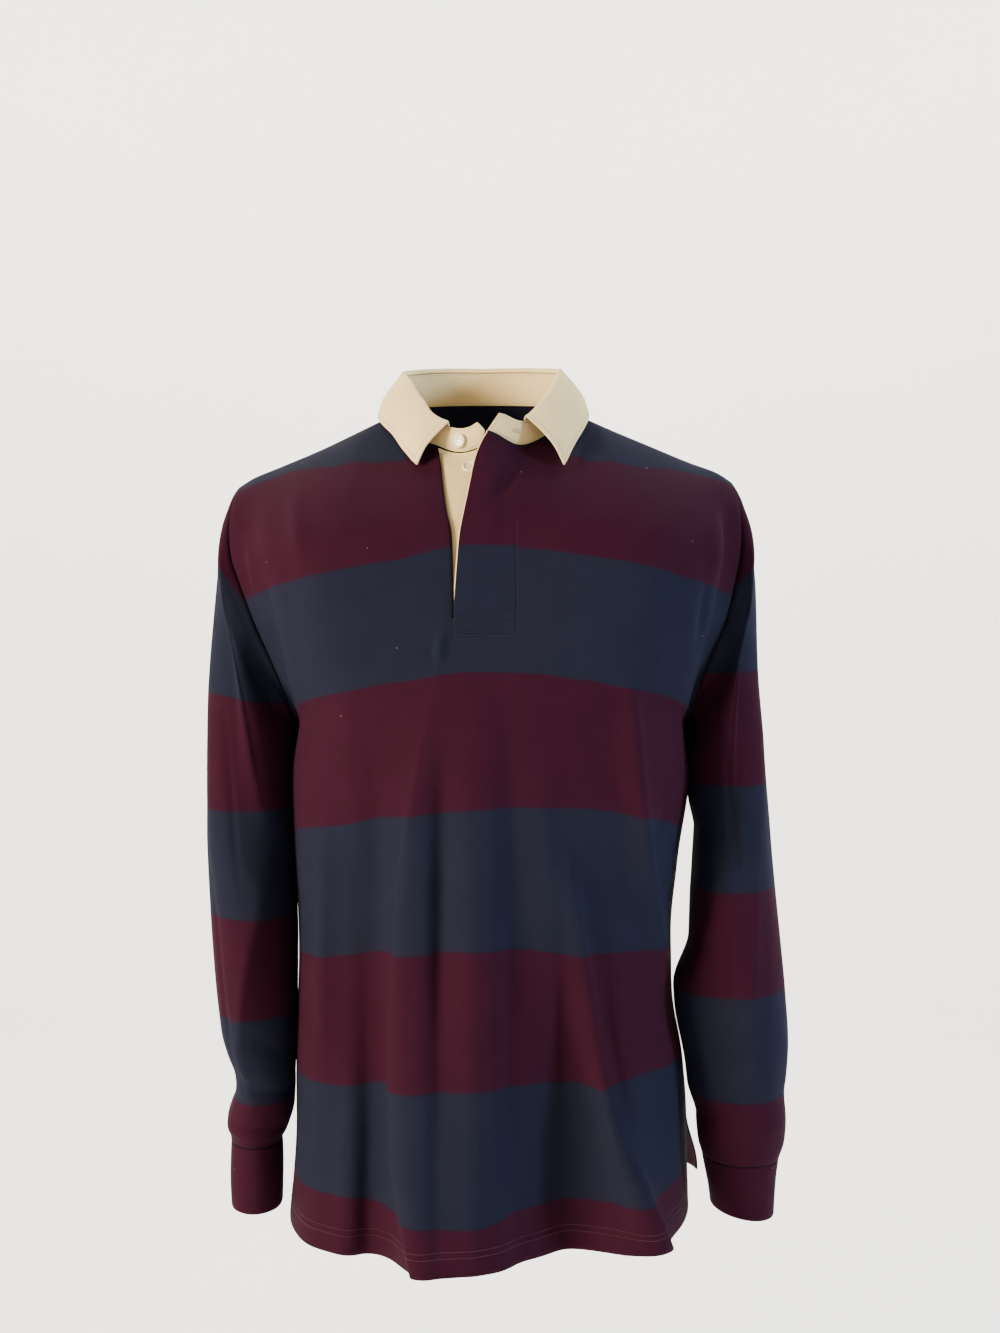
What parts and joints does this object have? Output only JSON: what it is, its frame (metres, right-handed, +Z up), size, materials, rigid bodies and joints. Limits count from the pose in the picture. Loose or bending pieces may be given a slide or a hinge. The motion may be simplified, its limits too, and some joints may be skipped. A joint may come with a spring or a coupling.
{
  "type": "long-sleeve polo shirt",
  "caption": "Worn long-sleeve polo shirt: hollow striped jersey body and sleeves, cuffs, twill collar on a stand, and an open two-ply button placket.",
  "frame": {"origin": "middle of the neck opening, level with the tops of the shoulders, where the wearer carries the garment", "axes": "+Z up along the worn body; -Y to the front; +X to the wearer's left"},
  "size_m": [0.5595, 0.2973, 0.829],
  "materials": {
    "striped_jersey": "matte knit, broad burgundy and navy stripes",
    "plain_jersey": "matte knit, plain burgundy",
    "twill": "matte woven cotton twill, ecru",
    "button_resin": "polished ivory resin"
  },
  "bodies": {
    "root": {"front_panel": "striped_jersey", "back_panel": "striped_jersey", "sleeve_right": "striped_jersey", "sleeve_left": "striped_jersey", "cuff_right": "plain_jersey", "cuff_left": "plain_jersey", "collar_stand": "twill", "collar_leaf": "twill", "placket_underlay": "twill", "placket_overlay": "striped_jersey", "button_band": "button_resin", "button_placket": "button_resin"}
  },
  "joints": []
}
